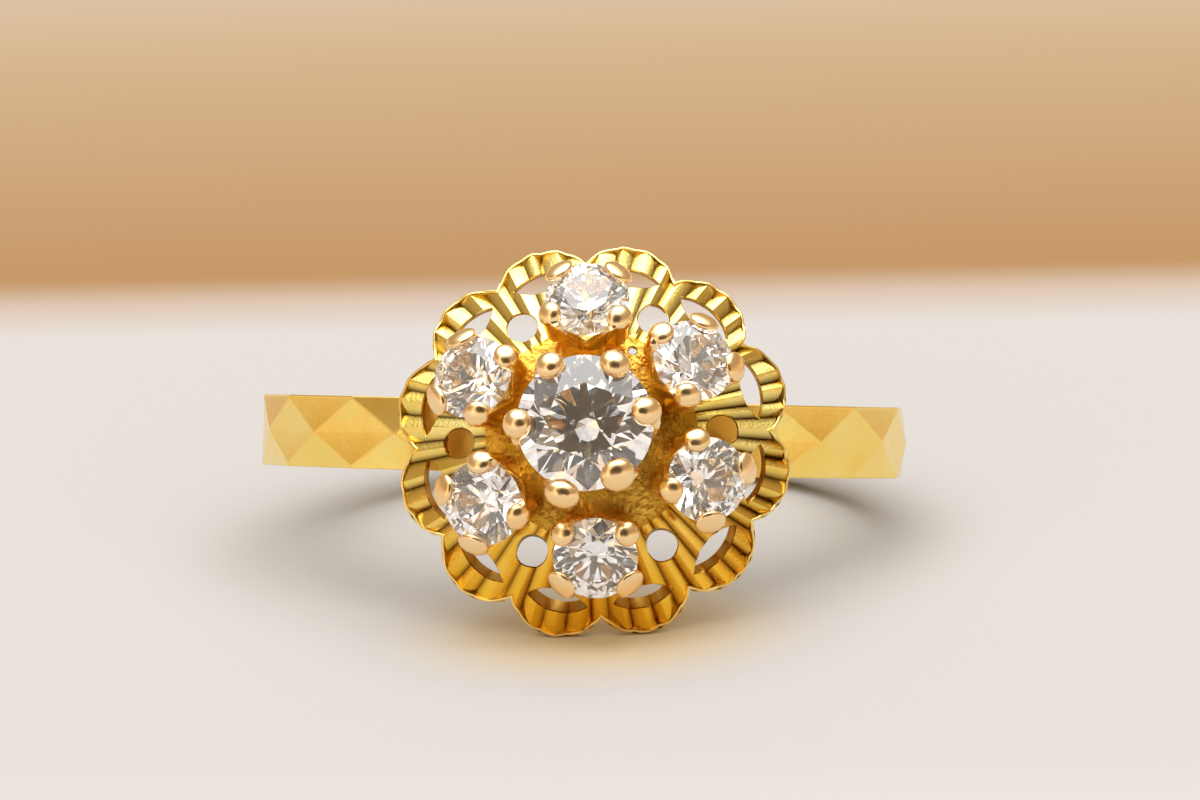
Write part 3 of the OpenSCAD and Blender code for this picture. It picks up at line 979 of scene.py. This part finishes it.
def band():
    """Narrow band, plain inside, cut outside with triangles along both edges and
    creased rhombuses between them."""
    rng = random.Random(BAND_SEED)
    step = 360 / BAND_CUTS
    count = BAND_CUTS * INNER_PARTS
    bm = bmesh.new()
    edge = {}
    for sign in (1, -1):
        edge[sign] = [bm.verts.new(on_band(BAND_EDGE_R, BAND_FIRST + (k + 0.5) * step,
                                           sign * BAND_W / 2)) for k in range(BAND_CUTS)]
    middle = [bm.verts.new(on_band(BAND_MID_R, BAND_FIRST + k * step,
                                   rng.uniform(-BAND_UNEVEN, BAND_UNEVEN)))
              for k in range(BAND_CUTS)]
    inner = {}
    for sign in (1, -1):
        inner[sign] = [bm.verts.new(on_band(FINGER_R, BAND_FIRST + (i / INNER_PARTS + 0.5) * step,
                                            sign * BAND_W / 2)) for i in range(count)]
    for k in range(BAND_CUTS):
        n = (k + 1) % BAND_CUTS
        for sign in (1, -1):
            before = edge[sign][k - 1]
            bm.faces.new([before, edge[sign][k], middle[k]][::-sign])
            bm.faces.new([edge[sign][k], middle[n], middle[k]][::-sign])
            ring = [inner[sign][(k * INNER_PARTS + i) % count] for i in range(INNER_PARTS + 1)]
            bm.faces.new(([edge[sign][k], edge[sign][n]] + ring[::-1])[::sign])
    for i in range(count):
        j = (i + 1) % count
        bm.faces.new([inner[1][i], inner[1][j], inner[-1][j], inner[-1][i]])
    bmesh.ops.recalc_face_normals(bm, faces=bm.faces)
    bmesh.ops.bevel(bm, geom=[e for e in bm.edges if is_long_edge(e)], offset=BAND_ROUNDING,
                    segments=3, profile=0.6, affect="EDGES")
    bmesh.ops.bevel(bm, geom=[e for e in bm.edges if is_crease(e)], offset=CREASE_W,
                    segments=1, profile=0.5, affect="EDGES")
    return bm


def solder_pad(steps=64):
    """Low round pad that joins the head to the band, with a fillet below."""
    low, high = PAD_Z
    profile = [  # radius, height
        (0, high), (PAD_R - 0.2, high), (PAD_R - 0.05, high - 0.1), (PAD_R, high - 0.3),
        (PAD_R - 0.04, low + 0.2), (PAD_R - 0.25, low + 0.02), (0, low),
    ]
    bm = bmesh.new()
    rows = []
    for r, z in profile:
        rows.append([bm.verts.new((0, 0, z))] if r == 0 else
                    [bm.verts.new(polar(r, 360 * i / steps, z)) for i in range(steps)])
    for upper, lower in zip(rows, rows[1:]):
        for i in range(steps):
            j = (i + 1) % steps
            quad = [upper[i % len(upper)], upper[j % len(upper)],
                    lower[j % len(lower)], lower[i % len(lower)]]
            bm.faces.new(list(dict.fromkeys(quad)))
    bmesh.ops.recalc_face_normals(bm, faces=bm.faces)
    return bm


# The whole ring

def build_gold():
    seats = [(centre_frame(), brilliant_planes(CENTRE_D), CENTRE_D / 2)]
    for side in SIDES:
        seats.append((side_frame(side), brilliant_planes(SIDE_D), SIDE_D / 2))
    piece(rosette_plate(), "rosette_plate", HEAD, PLATE_MATERIALS, ["gold_ring"],
          sharp_deg=18)
    piece(rosette_rim(), "rosette_rim", HEAD, [GOLD_RIM], ["gold_ring"], sharp_deg=50)
    build_holder("centre_setting", CROWN, centre_frame(), CENTRE_CLAWS, CROWN_VOXEL, seats,
                 CROWN_SEED)
    for number, side in enumerate(SIDES, 1):
        claws = [(direction, CUP_TIP_AT, 1, 1) for direction in side[2]]
        build_holder(f"side_setting_{number}", CUP, side_frame(side), claws, CUP_VOXEL, seats,
                     CUP_SEED + number)
    piece(band(), "shank", BAND, [GOLD_BAND], ["gold_ring"], sharp_deg=8)
    piece(solder_pad(), "solder_pad", HEAD, [GOLD_BAND], ["gold_ring"], sharp_deg=40)


def build_stones():
    stones = [piece(brilliant(CENTRE_D, 0), "centre_brilliant", HEAD @ centre_frame(),
                    [CENTRE_STONE], ["centre_stone"])]
    rng = random.Random(SPIN_SEED)
    for number, side in enumerate(SIDES, 1):
        stone = brilliant(SIDE_D, rng.uniform(0, 45))
        stones.append(piece(stone, f"side_brilliant_{number}", HEAD @ side_frame(side),
                            [SIDE_STONE], [f"side_stone_{number}"]))
    # Light reaches the gold through the clear stones, so they cast no shadow
    for stone in stones:
        stone.visible_shadow = False


# Floor, light and camera

FLOOR_HALF = 1.5
# The floor's colours run from near to far along this direction, between these places in metres
FLOOR_WAY = (0.13, 1, 0)
FLOOR_SPAN = (-0.06, 0.14)
# Columns: part of the span, colour
FLOOR_COLOURS = [
    (0.0, (0.43, 0.41, 0.395)), (0.2, (0.314, 0.302, 0.293)), (0.456, (0.314, 0.302, 0.293)),
    (0.481, (0.288, 0.228, 0.183)), (0.494, (0.235, 0.154, 0.088)), (0.501, (0.217, 0.122, 0.049)),
    (0.72, (0.263, 0.189, 0.114)), (1.0, (0.33, 0.307, 0.287)),
]
# Where the gold's warm light and a lighter shadow under the head are painted onto the floor, the
# painted colour there, and the distances between which it fades
WARM_AT = (0.0, -0.0075, 0.0)
PAINTED_GLOW_COLOUR = (0.45, 0.348, 0.205)
WARM_FADE = (0.0005, 0.007)


def floor():
    """Plain pale floor, off-white round the ring and beige further back, with a warm glow of light and
    a lighter shadow painted under the head.
    """
    mesh = bpy.data.meshes.new("floor")
    half = FLOOR_HALF
    mesh.from_pydata([(-half, -half, 0), (half, -half, 0), (half, half, 0), (-half, half, 0)],
                     [], [(0, 1, 2, 3)])
    material, tree, shader = new_material("floor")
    place = tree.nodes.new("ShaderNodeTexCoord").outputs["Object"]
    far = tree.nodes.new("ShaderNodeMapRange")
    far.inputs["From Min"].default_value, far.inputs["From Max"].default_value = FLOOR_SPAN
    tree.links.new(along(tree, place, *FLOOR_WAY), far.inputs["Value"])
    colour = ramp(tree, far.outputs["Result"], FLOOR_COLOURS)
    gap = tree.nodes.new("ShaderNodeVectorMath")
    gap.operation = "DISTANCE"
    gap.inputs[1].default_value = WARM_AT
    tree.links.new(place, gap.inputs[0])
    # Painted glow: warm light and a lighter shadow painted into the floor under the head
    painted_glow = soft_step(tree, gap.outputs["Value"], *WARM_FADE, 1.0, 0.0)
    tree.links.new(tint(tree, colour, PAINTED_GLOW_COLOUR, painted_glow, "MIX"), shader.inputs["Base Color"])
    shader.inputs["Roughness"].default_value = 0.75
    mesh.materials.append(material)
    obj = bpy.data.objects.new("floor", mesh)
    bpy.context.scene.collection.objects.link(obj)


# Brightness of the studio right above the ring, and what is added in front of it
SKY = 2.8
FRONT = 0.95
# Columns: sine of the height over the horizon, brightness there as a part of the sky's
SKY_LEVELS = [(0.0, 0.3), (0.1, 0.26), (0.22, 0.15), (0.64, 0.16), (0.76, 0.34), (0.9, 1.0)]
# Columns: sine of the height over the horizon, colour
SKY_COLOURS = [
    (0.0, (1.0, 0.76, 0.54)), (0.5, (1.0, 0.78, 0.56)), (0.72, (1.0, 0.94, 0.85)),
    (0.88, (1.0, 1.0, 1.0)),
]
# Directions of the light in front and of the dark patch in it, the cosines between which each
# fades in, and the brightness that the patch leaves
FRONT_WAY = (-0.18, -0.95, 0.25)
FRONT_FADE = (0.64, 0.86)
PATCH_WAY = (0.0, -0.94, 0.34)
PATCH_FADE = (0.77, 0.9)
PATCH_LEFT = 0.05


def surroundings():
    """Wide soft light from above, a softer one from the front, dim at the sides and darker
    in a patch in front."""
    world = bpy.data.worlds.new("studio")
    world.use_nodes = True
    tree = world.node_tree
    direction = tree.nodes.new("ShaderNodeTexCoord").outputs["Generated"]
    height = along(tree, direction, 0, 0, 1)
    colour = ramp(tree, height, SKY_COLOURS)
    level = ramp(tree, height, [(z, (part, part, part)) for z, part in SKY_LEVELS])
    above = along(tree, level, SKY, 0, 0)
    front = soft_step(tree, along(tree, direction, *FRONT_WAY), *FRONT_FADE, 0.0, FRONT)
    patch = soft_step(tree, along(tree, direction, *PATCH_WAY), *PATCH_FADE, 1.0, PATCH_LEFT)
    strength = combine(tree, "MULTIPLY", combine(tree, "ADD", above, front), patch)
    back = tree.nodes["Background"]
    tree.links.new(colour, back.inputs["Color"])
    tree.links.new(strength, back.inputs["Strength"])
    bpy.context.scene.world = world


# A wide soft light from the front lifts the shadows on the floor. It doesn't show in the gold.
FILL_STRENGTH = 4.2
FILL_WIDTH = 80
FILL_TILT = 48


def fill_light():
    data = bpy.data.lights.new("fill", "SUN")
    data.energy = FILL_STRENGTH
    data.angle = math.radians(FILL_WIDTH)
    obj = bpy.data.objects.new("fill", data)
    obj.rotation_euler = (math.radians(FILL_TILT), 0, 0)
    obj.visible_glossy = False
    obj.visible_transmission = False
    bpy.context.scene.collection.objects.link(obj)


# The camera looks at a point near the middle of the head, in metres. Its angles are in degrees,
# its lens and sensor in millimetres, and its shift in pixels of the image.
LOOK_AT = (-0.0000498, -0.0075705, 0.0055899)
AZIMUTH = -1.6
ELEVATION = 13.9
CAMERA_ROLL = -2.35
CAMERA_AWAY = 0.2
LENS = 210.6
SENSOR = 36
IMAGE_W = 1200
SHIFT = (7.8, 41)


def camera():
    data = bpy.data.cameras.new("camera")
    obj = bpy.data.objects.new("camera", data)
    data.sensor_width = SENSOR
    data.lens = LENS
    data.clip_start = 0.01
    data.shift_x = SHIFT[0] / IMAGE_W
    data.shift_y = SHIFT[1] / IMAGE_W
    a, e = math.radians(AZIMUTH), math.radians(ELEVATION)
    away = Vector((math.sin(a) * math.cos(e), -math.cos(a) * math.cos(e), math.sin(e)))
    obj.location = Vector(LOOK_AT) + away * CAMERA_AWAY
    facing = (-away).to_track_quat("-Z", "Y").to_matrix()
    rolled = facing @ Matrix.Rotation(math.radians(CAMERA_ROLL), 3, "Z")
    obj.rotation_euler = rolled.to_euler()
    bpy.context.scene.collection.objects.link(obj)
    bpy.context.scene.camera = obj


def render_look():
    scene = bpy.context.scene
    scene.view_settings.view_transform = "Standard"
    scene.view_settings.look = "Medium High Contrast"
    scene.cycles.max_bounces = 24
    scene.cycles.transmission_bounces = 20
    scene.cycles.glossy_bounces = 12


build_gold()
build_stones()
floor()
surroundings()
fill_light()
camera()
render_look()
